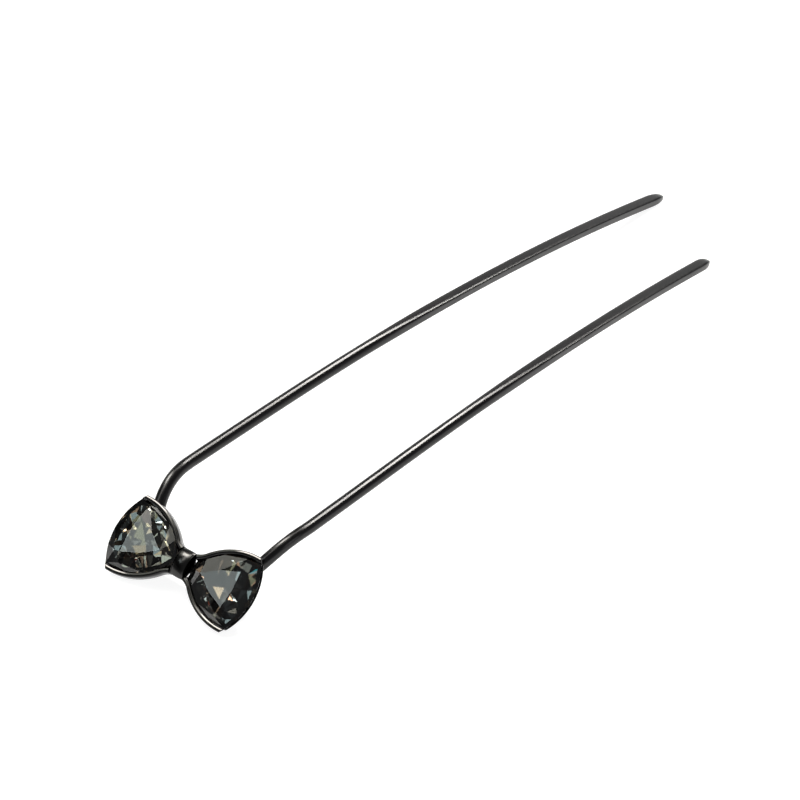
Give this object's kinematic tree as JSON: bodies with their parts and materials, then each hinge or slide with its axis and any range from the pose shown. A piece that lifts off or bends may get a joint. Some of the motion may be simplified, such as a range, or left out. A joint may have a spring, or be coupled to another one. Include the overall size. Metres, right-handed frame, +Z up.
{
  "type": "u-shaped hairpin",
  "caption": "U-shaped hairpin: a bent, dark-plated wire fork with a bow of smoky rounded-triangle crystals set in low cups at its bend.",
  "frame": {"origin": "middle of the pin's bounding box, at the level of the surface it lies on", "axes": "+X across the bow, towards the cup on the side of the shorter prong; +Y along the prongs, towards their tips; +Z up, square to the surface the pin lies on"},
  "size_m": [0.0264, 0.1208, 0.0098],
  "materials": {
    "wire": "black nickel plate, polished",
    "bow_metal": "black nickel plate, polished",
    "crystal": "cut and polished, foiled back",
    "glue": "cured clear glue",
    "solder": "plated over, satin"
  },
  "bodies": {
    "root": {"wire_fork": "wire", "left_cup": "bow_metal", "right_cup": "bow_metal", "bow_core": "bow_metal", "knot_band": "bow_metal", "left_crystal": "crystal", "right_crystal": "crystal", "left_glue_bed": "glue", "right_glue_bed": "glue", "left_solder": "solder", "right_solder": "solder"}
  },
  "joints": []
}
